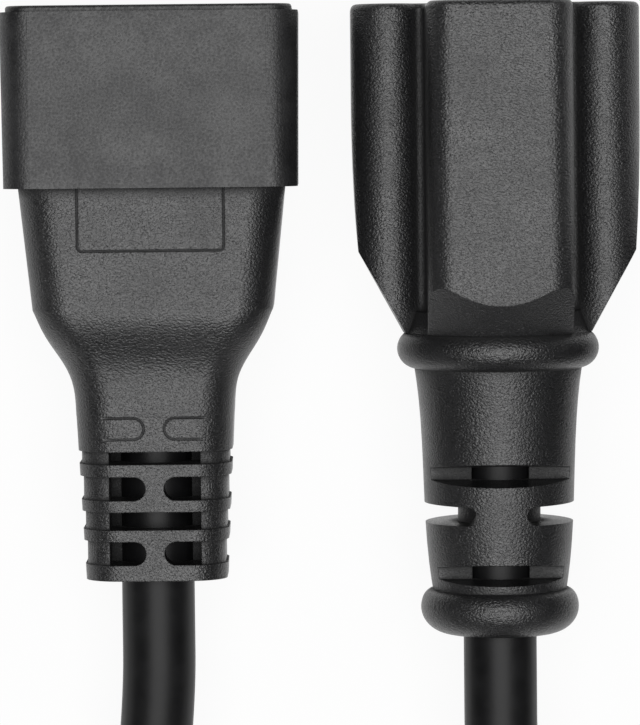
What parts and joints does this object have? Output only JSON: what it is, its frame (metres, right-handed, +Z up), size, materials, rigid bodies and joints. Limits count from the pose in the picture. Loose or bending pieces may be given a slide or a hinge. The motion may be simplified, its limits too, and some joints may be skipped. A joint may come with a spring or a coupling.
{
  "type": "y splitter power cord",
  "caption": "Short power cord that splits one pin-inlet plug into two blade outlets through a moulded Y junction, with slotted strain reliefs.",
  "frame": {"origin": "on the resting surface under the middle of the box round the plug, the outlets and the junction", "axes": "+Y the way the plug's pins and the outlets' faces point, +X across, +Z up from the surface it lies on"},
  "size_m": [0.1143, 0.2324, 0.026],
  "materials": {
    "shroud_plastic": "hard moulded, fine satin with faint flow marks",
    "overmould_pvc": "soft moulded, fine leather grain",
    "cord_jacket": "extruded, smooth satin",
    "insert_plastic": "hard moulded, plain",
    "pin_metal": "nickel plated",
    "contact_brass": "stamped",
    "splice_metal": "tinned",
    "wire_black": "plain",
    "wire_white": "plain",
    "wire_green": "plain"
  },
  "bodies": {
    "root": {"junction_core": "insert_plastic", "junction_earth_splice": "splice_metal", "junction_line_splice": "splice_metal", "junction_neutral_splice": "splice_metal", "junction_overmould": "overmould_pvc", "leg_1_cord": "cord_jacket", "leg_1_earth_wire": "wire_green", "leg_1_line_wire": "wire_black", "leg_1_neutral_wire": "wire_white", "leg_2_cord": "cord_jacket", "leg_2_earth_wire": "wire_green", "leg_2_line_wire": "wire_black", "leg_2_neutral_wire": "wire_white", "outlet_1_contact_block": "insert_plastic", "outlet_1_earth_contact": "contact_brass", "outlet_1_earth_wire": "wire_green", "outlet_1_line_contact": "contact_brass", "outlet_1_line_wire": "wire_black", "outlet_1_neutral_contact": "contact_brass", "outlet_1_neutral_wire": "wire_white", "outlet_1_overmould": "overmould_pvc", "outlet_2_contact_block": "insert_plastic", "outlet_2_earth_contact": "contact_brass", "outlet_2_earth_wire": "wire_green", "outlet_2_line_contact": "contact_brass", "outlet_2_line_wire": "wire_black", "outlet_2_neutral_contact": "contact_brass", "outlet_2_neutral_wire": "wire_white", "outlet_2_overmould": "overmould_pvc", "plug_earth_pin": "pin_metal", "plug_earth_wire": "wire_green", "plug_line_pin": "pin_metal", "plug_line_wire": "wire_black", "plug_neutral_pin": "pin_metal", "plug_neutral_wire": "wire_white", "plug_overmould": "overmould_pvc", "plug_shroud": "shroud_plastic", "trunk_cord": "cord_jacket", "trunk_earth_wire": "wire_green", "trunk_line_wire": "wire_black", "trunk_neutral_wire": "wire_white"}
  },
  "joints": []
}
